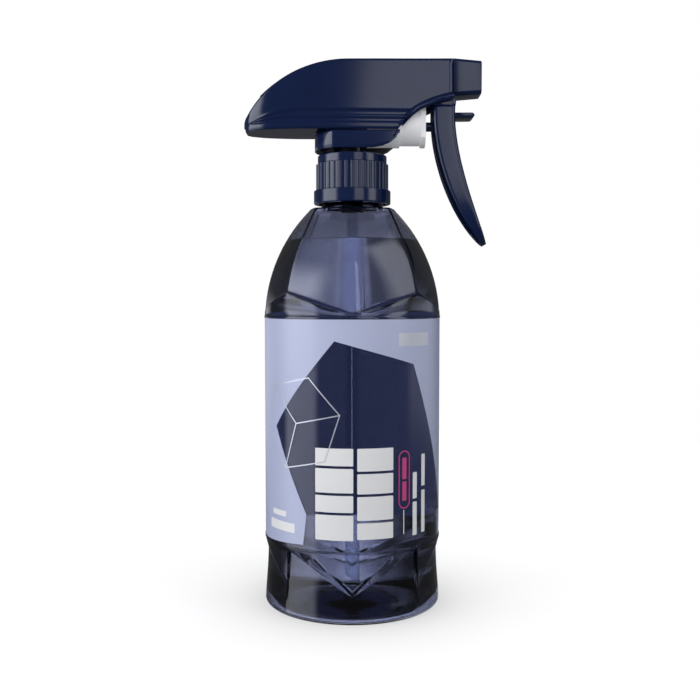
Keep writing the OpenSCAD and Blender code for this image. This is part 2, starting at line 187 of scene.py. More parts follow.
build_world(0.1)
add_lamp("softbox_front", (0.295, -0.75, 0.527), 0.41, 0.646, 1.55, True)
add_lamp("fill", (-0.35, -1.2, 0.35), 1.4, 1.4, 1.1, False)
bpy.context.scene.view_settings.view_transform = "Standard"

# %% [markdown]
# ## Floor
# White paper. It glows to the camera, so that it meets the white room without an edge and only the
# soft shadow under the bottle shows. That shadow is partly real and partly painted: the glow is made weaker
# close to the bottle, where no light gets in.
# Reflections and light that has passed through the bottle miss the floor and meet the room.

# %% Floor
# painted shadow: the floor's glow fades out to this radius around the bottle
FOOT_R = 0.036  # the glow is weakest under the bottle, out to the radius of its foot


def add_floor(radius, glow, painted_shadow_glow):
    bm = bmesh.new()
    bmesh.ops.create_circle(bm, cap_ends=True, segments=96, radius=radius)
    mesh = bpy.data.meshes.new("floor")
    bm.to_mesh(mesh)
    bm.free()
    paper = bpy.data.materials.new("white_paper")
    paper.use_nodes = True
    tree = paper.node_tree
    shader = tree.nodes["Principled BSDF"]
    place = add(tree, "ShaderNodeTexCoord").outputs["Object"]
    near = add(tree, "ShaderNodeVectorMath", {"operation": "DOT_PRODUCT"}, at_0=place, at_1=place)
    fade = add(tree, "ShaderNodeMath", {"operation": "DIVIDE"}, at_0=1.0, at_1=near.outputs["Value"])
    # painted shadow: the glow falls towards the bottle
    light = add(tree, "ShaderNodeMapRange", Value=fade.outputs[0], From_Min=1 / FOOT_R ** 2, From_Max=0.0,
                To_Min=painted_shadow_glow, To_Max=glow)
    seen = add(tree, "ShaderNodeLightPath").outputs["Is Camera Ray"]
    glowing = add(tree, "ShaderNodeMath", {"operation": "MULTIPLY"}, at_0=light.outputs["Result"], at_1=seen)
    tree.links.new(glowing.outputs[0], shader.inputs["Emission Strength"])
    shader.inputs["Base Color"].default_value = linear("#989898")
    shader.inputs["Roughness"].default_value = 0.8
    shader.inputs["Emission Color"].default_value = linear("#FFFFFF")
    mesh.materials.append(paper)
    floor = bpy.data.objects.new("floor", mesh)
    floor.location.z = -0.0001
    floor.visible_glossy = False
    floor.visible_transmission = False
    bpy.context.scene.collection.objects.link(floor)
    return floor


floor = add_floor(0.5, 0.93, 0.62)
print("floor radius", round(floor.dimensions.x / 2, 2), "m")

# %% [markdown]
# ## Finishes
# Each finish starts from the real material. The spray head is injection-moulded polypropylene: a
# deep navy colour through and through, a polished skin, and a faint ripple where the melt cooled.

# %% Moulded polypropylene
def start_material(name):
    """A new material, its node tree, its shader, and the place on the piece in object space."""
    material = bpy.data.materials.new(name)
    material.use_nodes = True
    tree = material.node_tree
    place = add(tree, "ShaderNodeTexCoord").outputs["Object"]
    return material, tree, tree.nodes["Principled BSDF"], place


def connect(tree, output, shader, socket):
    tree.links.new(output, shader.inputs[socket])


def moulded(name, dark, light, roughness, ripple_mm, ripple_depth_mm, grain_mm=0.35):
    """A moulded plastic: two close tones, a slow ripple and a fine skin that varies the gloss."""
    material, tree, shader, place = start_material(name)
    slow = add(tree, "ShaderNodeTexNoise", Vector=place, Scale=1 / (ripple_mm * MM), Detail=2.0,
               Roughness=0.4)
    fine = add(tree, "ShaderNodeTexNoise", Vector=place, Scale=1 / (grain_mm * MM), Detail=3.0,
               Roughness=0.6)
    tone = add(tree, "ShaderNodeMix", {"data_type": "RGBA"}, at_0=slow.outputs["Fac"],
               at_6=linear(dark), at_7=linear(light))
    gloss = add(tree, "ShaderNodeMapRange", Value=fine.outputs["Fac"], From_Min=0.3, From_Max=0.7,
                To_Min=roughness * 0.85, To_Max=roughness * 1.2)
    wave = add(tree, "ShaderNodeBump", Strength=0.6, Distance=ripple_depth_mm * MM,
               Height=slow.outputs["Fac"])
    skin = add(tree, "ShaderNodeBump", Strength=0.25, Distance=0.01 * MM, Height=fine.outputs["Fac"],
               Normal=wave.outputs["Normal"])
    connect(tree, tone.outputs[2], shader, "Base Color")
    connect(tree, gloss.outputs["Result"], shader, "Roughness")
    connect(tree, skin.outputs["Normal"], shader, "Normal")
    shader.inputs["IOR"].default_value = 1.49
    return material


# Navy polypropylene: nearly black in shade, with crisp highlights
navy_pp = moulded("navy_polypropylene", "#0B1A3D", "#0F1F44", 0.14, 9, 0.03)
# Black polypropylene of the pump frame: greyer and less polished, since it isn't on show
black_pp = moulded("black_polypropylene", "#101114", "#191A1E", 0.36, 6, 0.03)
# Natural white polyethylene of the pump: waxy, with soft highlights. Light goes a little way into
# it. A faint glow is painted light that brightens the pump where it sits in shade under the head.
white_pe = moulded("white_polyethylene", "#E4E5E7", "#EEEEF0", 0.38, 5, 0.02)
waxy_and_painted_glow = white_pe.node_tree.nodes["Principled BSDF"].inputs
waxy_and_painted_glow["Subsurface Weight"].default_value = 0.15
waxy_and_painted_glow["Subsurface Scale"].default_value = 1.5 * MM
# painted light: a faint white glow that brightens the shaded pump
waxy_and_painted_glow["Emission Color"].default_value = linear("#E8ECF2")
waxy_and_painted_glow["Emission Strength"].default_value = 0.16
# Seal rubber: dull, dark and slightly dusty
black_rubber = moulded("nitrile_rubber", "#0C0C0D", "#1A1A1B", 0.62, 2, 0.02, 0.15)
print("plastics:", [m.name for m in (navy_pp, black_pp, white_pe, black_rubber)])

# %% [markdown]
# The springs and the ball are stainless steel. Drawn wire has fine lines along it, which spread
# its highlights.

# %% Stainless steel
def drawn_steel(name):
    material, tree, shader, place = start_material(name)
    lines = add(tree, "ShaderNodeTexNoise", Vector=place, Scale=1 / (0.2 * MM), Detail=2.0)
    gloss = add(tree, "ShaderNodeMapRange", Value=lines.outputs["Fac"], To_Min=0.16, To_Max=0.34)
    connect(tree, gloss.outputs["Result"], shader, "Roughness")
    shader.inputs["Base Color"].default_value = linear("#C9CACC")
    shader.inputs["Metallic"].default_value = 1.0
    return material


steel = drawn_steel("stainless_steel")
print("metal:", steel.name)

# %% [markdown]
# The bottle is blown PET with a blue-grey tint, so it is clear but dark, and darkest at its edges,
# where you look through more of it. Blowing leaves a slow waviness that bends reflections. The
# liquid has its own, weaker tint. The dip tube is natural polyethylene, cloudy but see-through. It
# stands in the liquid, so its IOR here is the small step from the liquid to it, which hides it well.

# %% Clear materials
def clear(name, tint_dark, tint_light, ior, roughness, wave_mm, wave_depth_mm):
    """A see-through material whose tint varies a little from place to place, with a slow wave in its skin.
    """
    material, tree, shader, place = start_material(name)
    slow = add(tree, "ShaderNodeTexNoise", Vector=place, Scale=1 / (wave_mm * MM), Detail=1.0)
    tone = add(tree, "ShaderNodeMix", {"data_type": "RGBA"}, at_0=slow.outputs["Fac"],
               at_6=linear(tint_dark), at_7=linear(tint_light))
    wave = add(tree, "ShaderNodeBump", Strength=0.5, Distance=wave_depth_mm * MM,
               Height=slow.outputs["Fac"])
    connect(tree, tone.outputs[2], shader, "Base Color")
    connect(tree, wave.outputs["Normal"], shader, "Normal")
    shader.inputs["Transmission Weight"].default_value = 1.0
    shader.inputs["IOR"].default_value = ior
    shader.inputs["Roughness"].default_value = roughness
    return material


tinted_pet = clear("tinted_pet", "#898C9B", "#8F92A1", 1.45, 0.02, 12, 0.05)
lubricant = clear("tinted_lubricant", "#E6E8EF", "#EAECF3", 1.33, 0.0, 15, 0.0)
cloudy_pe = clear("natural_polyethylene", "#E4E7F0", "#ECEFF6", 1.03, 0.03, 4, 0.02)
print("clear materials:", [m.name for m in (tinted_pet, lubricant, cloudy_pe)])

# %% [markdown]
# The label is a printed plastic film. The periwinkle ink has a satin varnish with a fine tooth.
# White, pink and silver inks are printed on top of it. Through the bottle the film shows its inner
# side, which is painted a dark shade colour and given a faint painted glow.

# %% Label inks
def ink(name, dark, light, roughness, metallic=0.0):
    material, tree, shader, place = start_material(name)
    cloud = add(tree, "ShaderNodeTexNoise", Vector=place, Scale=1 / (18 * MM), Detail=3.0)
    tooth = add(tree, "ShaderNodeTexNoise", Vector=place, Scale=1 / (0.25 * MM), Detail=2.0)
    tone = add(tree, "ShaderNodeMix", {"data_type": "RGBA"}, at_0=cloud.outputs["Fac"],
               at_6=linear(dark), at_7=linear(light))
    skin = add(tree, "ShaderNodeBump", Strength=0.15, Distance=0.01 * MM, Height=tooth.outputs["Fac"])
    connect(tree, tone.outputs[2], shader, "Base Color")
    connect(tree, skin.outputs["Normal"], shader, "Normal")
    shader.inputs["Roughness"].default_value = roughness
    shader.inputs["Metallic"].default_value = metallic
    return material


def add_painted_film_back(material, dark, painted_glow):
    """Gives the side of the film that faces the bottle painted shade, a dark colour, and a faint painted
    glow in place of light that comes through it.
    """
    tree = material.node_tree
    shader = tree.nodes["Principled BSDF"]
    ink_tone = shader.inputs["Base Color"].links[0].from_socket
    place = add(tree, "ShaderNodeTexCoord")
    flat = add(tree, "ShaderNodeVectorMath", {"operation": "MULTIPLY"}, at_0=place.outputs["Object"],
               at_1=(1, 1, 0))
    outward = add(tree, "ShaderNodeVectorMath", {"operation": "DOT_PRODUCT"}, at_0=flat.outputs["Vector"],
                  at_1=place.outputs["Normal"])
    # the film's inner side gets a painted shade colour and a painted glow
    back = add(tree, "ShaderNodeMath", {"operation": "LESS_THAN"}, at_0=outward.outputs["Value"], at_1=0.0)
    tone = add(tree, "ShaderNodeMix", {"data_type": "RGBA"}, at_0=back.outputs[0], at_6=ink_tone,
               at_7=linear(dark))
    glow = add(tree, "ShaderNodeMix", {"data_type": "RGBA"}, at_0=back.outputs[0], at_6=(0, 0, 0, 1),
               at_7=linear(painted_glow))
    connect(tree, tone.outputs[2], shader, "Base Color")
    connect(tree, glow.outputs[2], shader, "Emission Color")
    shader.inputs["Emission Strength"].default_value = 1.0


periwinkle_ink = ink("periwinkle_ink", "#B8BFDC", "#C0C7E4", 0.32)
# painted shade and painted glow on the inside of the wrap
add_painted_film_back(periwinkle_ink, "#33384A", "#97A2CE")
white_ink = ink("white_ink", "#F2F2F2", "#F8F8F8", 0.4)
pink_ink = ink("pink_ink", "#C8407C", "#D4508A", 0.4)
silver_ink = ink("silver_ink", "#CDD1DC", "#DCE0EA", 0.3, 0.4)
print("inks:", [m.name for m in (periwinkle_ink, white_ink, pink_ink, silver_ink)])

# %% [markdown]
# ## Making pieces
# Every new piece is a bmesh first. The first helper turns one into an object: it merges doubled
# points, turns the faces outwards, smooths the piece except at its real edges, and hangs it on the
# body that it moves with. The others make outlines, skins and soft edges.

# %% Piece helpers
MERGE = 0.002 * MM
GRID_MERGE = 0.004 * MM


def piece(bm, name, body, material, replaces=(), sharp=38):
    bmesh.ops.remove_doubles(bm, verts=bm.verts, dist=MERGE)
    bmesh.ops.recalc_face_normals(bm, faces=bm.faces)
    mesh = bpy.data.meshes.new(name)
    bm.to_mesh(mesh)
    bm.free()
    mesh.materials.append(material)
    mesh.polygons.foreach_set("use_smooth", [True] * len(mesh.polygons))
    mesh.set_sharp_from_angle(angle=math.radians(sharp))
    obj = bpy.data.objects.new(name, mesh)
    bpy.context.scene.collection.objects.link(obj)
    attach(obj, body)
    if replaces:
        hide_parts(*replaces)
    print(name, "has", len(mesh.polygons), "faces")
    return obj


def wall(obj, thickness_mm):
    """Gives an open skin its wall, inwards."""
    shell = obj.modifiers.new("wall", "SOLIDIFY")
    shell.thickness = thickness_mm * MM
    shell.offset = -1


def thickened(bm, shift):
    """Extrudes a whole flat shape, and moves the new side."""
    made = bmesh.ops.extrude_face_region(bm, geom=bm.faces[:])["geom"]
    bmesh.ops.translate(bm, verts=[g for g in made if isinstance(g, bmesh.types.BMVert)], vec=shift)
    bmesh.ops.recalc_face_normals(bm, faces=bm.faces)


def soften(bm, edges, width_mm, segments):
    """Rounds some edges. A single segment cuts them flat."""
    bmesh.ops.bevel(bm, geom=edges, offset=width_mm * MM, offset_type="OFFSET", affect="EDGES",
                    segments=segments, profile=0.5, material=-1, clamp_overlap=True)


# %% Outline helpers
def lerp(a, b, t):
    return a + (b - a) * t


def smooth(t):
    t = min(1, max(0, t))
    return t * t * (3 - 2 * t)


def bezier(a, b, c, d, steps):
    """Points along a cubic curve, given as (across, height) pairs."""
    curve = []
    for i in range(steps + 1):
        t = i / steps
        s = 1 - t
        weights = (s ** 3, 3 * s * s * t, 3 * s * t * t, t ** 3)
        curve.append(tuple(sum(w * p[k] for w, p in zip(weights, (a, b, c, d))) for k in (0, 1)))
    return curve


def arc(centre, radius, start, end, steps):
    angles = [math.radians(lerp(start, end, i / steps)) for i in range(steps + 1)]
    return [(centre[0] + radius * math.cos(a), centre[1] + radius * math.sin(a)) for a in angles]


def spun(profile, steps):
    """A skin of revolution about the bottle's axis, from (radius, height) points in mm."""
    bm = bmesh.new()
    verts = [bm.verts.new((r * MM, 0, z * MM)) for r, z in profile]
    edges = [bm.edges.new(pair) for pair in zip(verts, verts[1:])]
    bmesh.ops.spin(bm, geom=verts + edges, cent=(0, 0, 0), axis=(0, 0, 1), dvec=(0, 0, 0),
                   angle=math.tau, steps=steps, use_merge=True, use_duplicate=False)
    bmesh.ops.remove_doubles(bm, verts=bm.verts, dist=MERGE)
    return bm

# %% [markdown]
# ## Bottle
# The bottle is blown in a mould, so it is one skin of even thickness. Its body is round under the
# label. The shoulder has four upright ridges on each half with flatter panels between them, which
# end below in a zigzag step. The base has shallow slanting cuts, deepest at their high side. Both
# patterns can be had from a turned skin: spin the outline first, then slide each point in or out,
# and up or down, by a rule that depends on its angle. The rows of points then follow the edges of
# the panels, which keeps them crisp.

# %% Bottle sizes, in mm
BODY_R = 35.36
BUMPER_R = 35.66
WALL = 0.85
LABEL_LOW = 28.0
LABEL_HIGH = 115.6
BASE_LOW = 1.8
BASE_HIGH = 27.0
SHOULDER_LOW = 116.7
SHOULDER_HIGH = 158.9
NECK_R = 12.4
NECK_TOP = 177.25
FILL = 146.5
print("label is", round(LABEL_HIGH - LABEL_LOW, 1), "mm high, liquid reaches", FILL, "mm")

# %% Shapes of the panels
def fold(angle):
    """Angle from the front or back ridge, from 0 to 90 degrees, the same in each quarter."""
    angle = abs((angle + 180) % 360 - 180)
    return min(angle, 180 - angle)


def base_cut(angle):
    """How high the slanting cut is at an angle: (deepest line, upper edge, depth), in mm."""
    q = fold(angle)
    sine = math.sin(math.radians(q))
    half = math.sin(math.radians(45))
    if q < 45:
        u = sine / half
        deep, rise = lerp(11.0, 26.3, u), 9.5
    else:
        u = (sine - half) / (1 - half)
        deep, rise = lerp(12.0, 22.5, u), 6.0
    top = min(BASE_HIGH - 0.2, deep + rise * u + 0.3)
    return deep, top, 1.15 * u + 3.2 * u * (1 - u)


def shoulder_r(z):
    """Radius of the shoulder's round outline, which is one large arc."""
    return math.sqrt(62.6 ** 2 - (z - 114.9) ** 2) - 27.2


def ridge_blend(f, z):
    """Softened angles to the ridges beside a point. The front ridge is a narrow flat band."""
    up = (z - SHOULDER_LOW) / (SHOULDER_HIGH - SHOULDER_LOW)
    band = lerp(3.3, 1.6, up)
    side = lerp(2.4, 1.0, smooth(up * 2))
    near_front = math.sqrt(max(0, f - band) ** 2 + 0.4 ** 2) - 0.4
    near_side = math.sqrt((45 - f) ** 2 + side * side) - side
    return near_front, near_side


def from_ridge(angle):
    """Angle from the nearest of the four straight ridges, from 0 to 45 degrees."""
    return 45 - abs(fold(angle) - 45)


def panel_r(angle, z):
    """Radius on a panel: partly the round shoulder, partly a flat face between its two ridges."""
    near_front, near_side = ridge_blend(from_ridge(angle), z)
    across = near_front / max(1e-6, near_front + near_side) * 45
    flat = 0.6
    bulge = math.cos(math.radians(22.5)) / math.cos(math.radians(across - 22.5))
    flare = across / 45 * (0.4 + 2 * (max(0, z - 145) / 13) ** 2)
    return (shoulder_r(z) + flare) * (1 - flat + flat * bulge)


def zigzag(angle):
    """Height of the panels' lower edge: low on the front ridge, high on the ridge at 45."""
    return 116.9 + 8.3 * from_ridge(angle) / 45


print("radius at 140 mm on a ridge and a panel:", [round(panel_r(a, 140), 1) for a in (0, 22)])

# %% Rows of points for the skin
# A row is a height on the turned outline. The rules below move it to where the panels need it.
COLUMNS = 360  # one column of points to a degree
BASE_DEEP = 0.5  # the row on the cuts' deepest line
BASE_TOP = 0.8  # the row on their upper edge
BASE_ROWS = [0, 0.1, 0.2, 0.3, 0.4, 0.46, 0.49, BASE_DEEP, 0.52, 0.57, 0.64, 0.71, 0.77, BASE_TOP, 0.83,
             0.9, 1]
STEP_ROWS = [0, 0.3, 0.6, 0.9]  # mm above the shoulder's lower edge
STEP_END = 1.02  # where the panels' rows begin
PANEL_ROWS = [0, 0.006, 0.014, 0.024, 0.036, 0.05, 0.07] + [0.1 + 0.06 * i for i in range(16)]


def place_on_bottle(v, inset):
    """Moves one point of the turned skin to its place on the shaped bottle, in mm."""
    x, y, z = (c / MM for c in v.co)
    r = math.hypot(x, y)
    angle = math.degrees(math.atan2(x, -y))
    if BASE_LOW - 0.01 < z < BASE_HIGH + 0.01 and r > 30:
        beyond = fold(angle) - 45
        if -0.1 < beyond < 1.6:
            # the cuts end in upright steps at 45 degrees, so two columns of points close up there
            sign = 1 if math.sin(math.radians(2 * angle)) > 0 else -1
            angle += sign * ((0.18 if beyond > 0.1 else -0.18) - beyond)
        deep, top, depth = base_cut(angle)
        t = (z - BASE_LOW) / (BASE_HIGH - BASE_LOW)
        if t < BASE_DEEP:
            t /= BASE_DEEP
            z = lerp(BASE_LOW, deep, t)
            r -= depth * smooth(t) ** 0.7
        elif t < BASE_TOP:
            t = (t - BASE_DEEP) / (BASE_TOP - BASE_DEEP)
            z = lerp(deep, top, t)
            r -= depth * (1 - t)
        else:
            z = lerp(top, BASE_HIGH, (t - BASE_TOP) / (1 - BASE_TOP))
    elif SHOULDER_LOW + 0.01 < z < SHOULDER_LOW + STEP_END - 0.01:
        z = lerp(SHOULDER_LOW, zigzag(angle), z - SHOULDER_LOW)
    elif SHOULDER_LOW + STEP_END - 0.01 <= z < SHOULDER_HIGH + 0.01:
        t = (z - SHOULDER_LOW - STEP_END) / (SHOULDER_HIGH - SHOULDER_LOW - STEP_END)
        low = zigzag(angle)
        z = lerp(low, SHOULDER_HIGH, max(0, t))
        step = smooth((z - low) / 1.1)
        r = lerp(35.45, panel_r(angle, z), step)
    r -= inset
    turn = math.radians(angle)
    v.co = Vector((r * math.sin(turn), -r * math.cos(turn), z)) * MM


def body_rows():
    """The outline's side, from the foot to the top of the shoulder."""
    rows = [(35.55, lerp(BASE_LOW, BASE_HIGH, t)) for t in BASE_ROWS]
    rows += [(BUMPER_R, BASE_HIGH + 0.15), (BUMPER_R, LABEL_LOW - 0.1)]
    rows += [(BODY_R, z) for z in (LABEL_LOW, 50, 72, 94, LABEL_HIGH)]
    rows += [(BUMPER_R, LABEL_HIGH + 0.1), (BUMPER_R, SHOULDER_LOW - 0.15)]
    rows += [(35.5, SHOULDER_LOW + t) for t in STEP_ROWS]
    rows += [(35.4, lerp(SHOULDER_LOW + STEP_END, SHOULDER_HIGH, t)) for t in PANEL_ROWS]
    return rows


def dome(lift):
    """The pushed-up middle of the bottom, from the axis to the foot."""
    return bezier((0, 6.4 + lift), (9, 6.4 + lift), (20, 0.4 + lift), (27, lift), 10)


print("rows up the side:", len(body_rows()))

# %% Bottle skin
def bottle_skin():
    foot = arc((33.75, 1.8), 1.8, -90, 0, 6)[:-1]
    neck = [(15.5, 159.2), (15.1, 159.5), (14.6, 159.6), (NECK_R + 0.3, 159.6), (NECK_R, 159.9),
            (NECK_R, NECK_TOP - 0.3), (NECK_R - 0.3, NECK_TOP), (10.9, NECK_TOP)]
    bm = spun(dome(0) + foot + body_rows() + neck, COLUMNS)
    for v in bm.verts:
        place_on_bottle(v, 0)
    return bm


def neck_thread(root, crest, low, turns, pitch=4.23):
    """A ridge that climbs round the neck: a small section, spun and lifted as it goes."""
    bm = bmesh.new()
    section = [(root, -1.0), (crest, -0.5), (crest, 0.5), (root, 1.0)]
    per_turn = 36
    verts = [bm.verts.new((r * MM, 0, (low + z) * MM)) for r, z in section]
    edges = [bm.edges.new((verts[i - 1], verts[i])) for i in range(4)]
    bmesh.ops.spin(bm, geom=verts + edges, cent=(0, 0, 0), axis=(0, 0, 1),
                   dvec=(0, 0, pitch / per_turn * MM), angle=math.tau * turns, steps=int(turns * per_turn))
    bmesh.ops.holes_fill(bm, edges=[e for e in bm.edges if e.is_boundary], sides=4)
    return bm


bottle = piece(bottle_skin(), "bottle_shell", "bottle", tinted_pet, ["bottle"], sharp=50)
wall(bottle, WALL)
piece(neck_thread(NECK_R - 0.2, 13.4, 165.2, 1.75), "neck_thread", "bottle", tinted_pet)
print("bottle is", round(bottle.dimensions.z / MM, 1), "mm tall")

# %% [markdown]
# ## Liquid
# Without a filling, a clear bottle looks empty and wrong. The liquid is the same skin, taken in
# by a little less than the wall, so that no film of air shows between them. Its surface curls up
# where it wets the wall.

# %% Liquid
def liquid_body():
    gap = WALL - 0.08
    side = [(r, z) for r, z in body_rows() if BASE_LOW + 0.1 < z < FILL + 3.5]
    bm = spun(dome(gap) + [(32.6, gap + 0.4)] + side, COLUMNS)
    for v in bm.verts:
        place_on_bottle(v, gap if math.hypot(v.co.x, v.co.y) > 0.0325 else 0)
    every = bm.verts[:] + bm.edges[:] + bm.faces[:]
    bmesh.ops.bisect_plane(bm, geom=every, plane_co=(0, 0, FILL * MM), plane_no=(0, 0, 1), clear_outer=True)
    rim = [e for e in bm.edges if e.is_boundary]
    cap = bmesh.ops.edgeloop_fill(bm, edges=rim)["faces"]
    bmesh.ops.inset_region(bm, faces=cap, thickness=1.2 * MM, use_even_offset=True)
    for face in cap:
        for v in face.verts:
            v.co.z -= 0.5 * MM
    return bm


piece(liquid_body(), "liquid", "bottle", lubricant, sharp=60)

# %% [markdown]
# ## Label
# The label is a film wrapped all the way round, printed in periwinkle except for a large clear
# window. It can be made flat, as it was printed: draw the outline, cut it into narrow strips so
# that it can bend, give it thickness, and roll it round the bottle. The words of a real label
# are left out, and plain blocks stand where they would be.

# %% Rolling a flat print round the bottle
def outline_face(bm, points):
    """A flat face inside a closed outline, which may have inward corners."""
    verts = [bm.verts.new(Vector(p) * MM) for p in points]
    edges = [bm.edges.new((verts[i - 1], verts[i])) for i in range(len(verts))]
    return bmesh.ops.edgeloop_fill(bm, edges=edges)["faces"]


PRINT_R = BODY_R + 0.02
FILM = 0.12
INK = 0.03


def along(degrees):
    """Distance along the flat film, in mm, of a place given by its angle round the bottle."""
    return PRINT_R * math.radians(degrees)


COLUMN_MM = along(3)


def roll(bm, lift_mm, thickness_mm):
    """Cuts a flat print into columns, gives it thickness and rolls it. It faces -Y when flat."""
    low = min(v.co.x for v in bm.verts) / MM
    high = max(v.co.x for v in bm.verts) / MM
    for k in range(math.ceil(low / COLUMN_MM), math.floor(high / COLUMN_MM) + 1):
        every = bm.verts[:] + bm.edges[:] + bm.faces[:]
        bmesh.ops.bisect_plane(bm, geom=every, dist=0.005 * MM, plane_co=(k * COLUMN_MM * MM, 0, 0),
                               plane_no=(1, 0, 0))
    thickened(bm, (0, -thickness_mm * MM, 0))
    for v in bm.verts:
        turn = v.co.x / (PRINT_R * MM)
        r = (PRINT_R + lift_mm) * MM - v.co.y
        v.co = Vector((r * math.sin(turn), -r * math.cos(turn), v.co.z))
    return bm


def flat_shape(outlines):
    """A flat print from closed outlines of (mm along the film, height) points."""
    bm = bmesh.new()
    for outline in outlines:
        outline_face(bm, [(s, 0, z) for s, z in outline])
    bmesh.ops.triangulate(bm, faces=bm.faces)
    return bm


print("the film is", round(along(360), 1), "mm long when flat")

# %% Periwinkle wrap
def wrap_print():
    low, high = LABEL_LOW + 0.05, LABEL_HIGH - 0.05
    window = [(87, low), (41, 98.5), (-11, 107.5), (-56.5, 74), (-29.5, 41.5), (-32, low)]
    corners = [(-179.8, low), (-179.8, high), (179.8, high), (179.8, low)]
    bm = roll(flat_shape([[(along(a), z) for a, z in corners + window]]), 0, FILM)
    for v in bm.verts:
        # the lower edge of the film is cut in a shallow curve, highest at the front and back
        if v.co.z < (LABEL_LOW + 1) * MM:
            v.co.z += 2.4 * MM * (v.co.y / (PRINT_R * MM)) ** 2
    return bm


piece(wrap_print(), "label_wrap", "bottle", periwinkle_ink, ["label"])

# %% Printed shapes
def block(a0, a1, z0, z1, corner=0.35):
    """Outline of a plain block with rounded corners, between two angles and two heights."""
    s0, s1 = along(a0), along(a1)
    corners = [((s1 - corner, z0 + corner), -90), ((s1 - corner, z1 - corner), 0),
               ((s0 + corner, z1 - corner), 90), ((s0 + corner, z0 + corner), 180)]
    return [p for centre, start in corners for p in arc(centre, corner, start, start + 90, 3)]


def stroke(p, q, width):
    """Outline of a straight line of some width between two points, in mm."""
    d = Vector((q[0] - p[0], q[1] - p[1]))
    side = Vector((-d.y, d.x)).normalized() * width / 2
    tip = d.normalized() * width / 2
    ends = [Vector(p) - tip, Vector(q) + tip]
    return [tuple(ends[0] - side), tuple(ends[1] - side), tuple(ends[1] + side), tuple(ends[0] + side)]


def column_of_blocks(a0, a1, low, heights, gap=1.0):
    blocks = []
    for height in heights:
        blocks.append(block(a0, a1, low, low + height))
        low += height + gap
    return blocks


title = (column_of_blocks(-23.2, 0.5, 32.6, [9.6, 6.4, 9.2, 6.6])
         + column_of_blocks(2.9, 25.7, 33.0, [6.2, 9.0, 7.6, 8.6]))
notes = (column_of_blocks(40.6, 44.2, 32.6, [13.0, 10.2], 1.2)
         + column_of_blocks(48.6, 52.2, 33.0, [16.5, 12.4], 1.6)
         + [block(33.1, 33.7, 33.8, 43.1, 0.1)])
volume = [block(-61, -46, 39.2, 41.4), block(-64, -38.5, 33.6, 37.2)]
piece(roll(flat_shape(title + notes + volume), FILM, INK), "print_white_blocks", "bottle",
      white_ink)
piece(roll(flat_shape([block(29.5, 55.5, 105.4, 110.4)]), FILM, INK), "print_silver_bar", "bottle",
      silver_ink)

# %% Line drawings
def wire_box(centre_deg, centre_z, radius, width):
    """A plain box drawn in lines: a hexagon with three lines to its middle."""
    middle = (along(centre_deg), centre_z)
    points = arc(middle, radius, 12, 312, 5)
    rim = [stroke(points[i - 1], points[i], width) for i in range(6)]
    return rim + [stroke(middle, points[i], width) for i in (0, 2, 4)]


def capsule(a0, a1, z0, z1, width):
    """The outline of a pill, as short strokes round it."""
    s0, s1 = along(a0), along(a1)
    r = (s1 - s0) / 2
    path = arc((s0 + r, z1 - r), r, 0, 180, 10) + arc((s0 + r, z0 + r), r, 180, 360, 10)
    return [stroke(path[i - 1], path[i], width) for i in range(len(path))]


piece(roll(flat_shape(wire_box(-37, 76, 18.5, 0.4)), FILM, INK + 0.01), "print_line_box", "bottle",
      silver_ink)
pill = capsule(29.9, 37.7, 43.8, 65.6, 0.45) + column_of_blocks(32.2, 35.4, 46.6, [7.4, 8.2], 0.9)
piece(roll(flat_shape(pill), FILM, INK), "print_pink_pill", "bottle", pink_ink)

# %% [markdown]
# ## Shroud
# The shroud is a thin moulded shell over the pump: a long tail behind, two flutes along each side,
# a fine rounded edge along its back, and a skirt round the neck. One side is a grid of points laid
# over the shape: along the plan outline in one direction, and up the side and over the top in the
# other. The rows follow the flutes, which run together at the tail. Mirroring makes the other side.

# %% Shroud outlines, in mm
HEAD_AXIS = 192.3
SHROUD_WALL = 1.3
BACK_CENTRE = (-1, 167.8)
BACK_R = 49.7
PLAN = (bezier((-43.5, 0), (-43.6, 7), (-38, 11.4), (-22, 12.7), 26)
        + bezier((-22, 12.7), (0, 13.4), (18, 10.8), (39.6, 10.25), 34)[1:])
FRONT_EDGE = bezier((18.7, 189.4), (20.5, 196), (27, 200.5), (39.6, 203.2), 30)
# height of each row on the side, and how wide the side is there
FLUTES = [(189.75, 0.95), (189.9, 0.975), (190.2, 0.99), (190.8, 1.0), (191.8, 0.992), (192.4, 0.975),
          (192.9, 0.95), (193.4, 0.945), (194.0, 0.948), (194.35, 0.965), (194.7, 0.98), (195.0, 0.972),
          (195.4, 0.948), (196.0, 0.94), (196.7, 0.944), (197.2, 0.965), (197.7, 0.985), (198.2, 0.982),
          (199.0, 0.97)]
UPPER_ROWS = 12
EDGE_ROWS = 6
TOP_ROWS = 5


def read(points, x):
    """Height of an outline at a place along it."""
    for (x0, z0), (x1, z1) in zip(points, points[1:]):
        if x0 <= x <= x1:
            return lerp(z0, z1, (x - x0) / (x1 - x0))
    return points[0][1] if x < points[0][0] else points[-1][1]


def back_height(x):
    """The back: a round tail end, a large arc, then nearly straight to the front."""
    if x < -42.2:
        return lerp(192.5, 195.6, math.sqrt(max(0, (x + 43.5) / 1.3)))
    if x < BACK_CENTRE[0]:
        return BACK_CENTRE[1] + math.sqrt(BACK_R ** 2 - (x - BACK_CENTRE[0]) ** 2)
    return lerp(217.5, 218.0, (x - BACK_CENTRE[0]) / 40.6)


def lower_height(x):
    """The lower edge: round under the tail end, level, then up along the front."""
    if x < -40.6:
        return 192.5 - math.sqrt(max(0, 2.9 ** 2 - (x + 40.6) ** 2))
    return read(FRONT_EDGE, x) if x > 18.7 else 189.75


def flute_height(level, x):
    """Height of a row on the side. The flutes run together towards the tail."""
    if level < HEAD_AXIS:
        return lerp(lower_height(min(x, 18)), HEAD_AXIS, (level - FLUTES[0][0]) / (HEAD_AXIS - FLUTES[0][0]))
    together = 1 - min(1, max(0, -x - 20) / 21.5) ** 1.8 if x < -20 else 1
    return HEAD_AXIS + (level - HEAD_AXIS) * max(0.04, together)


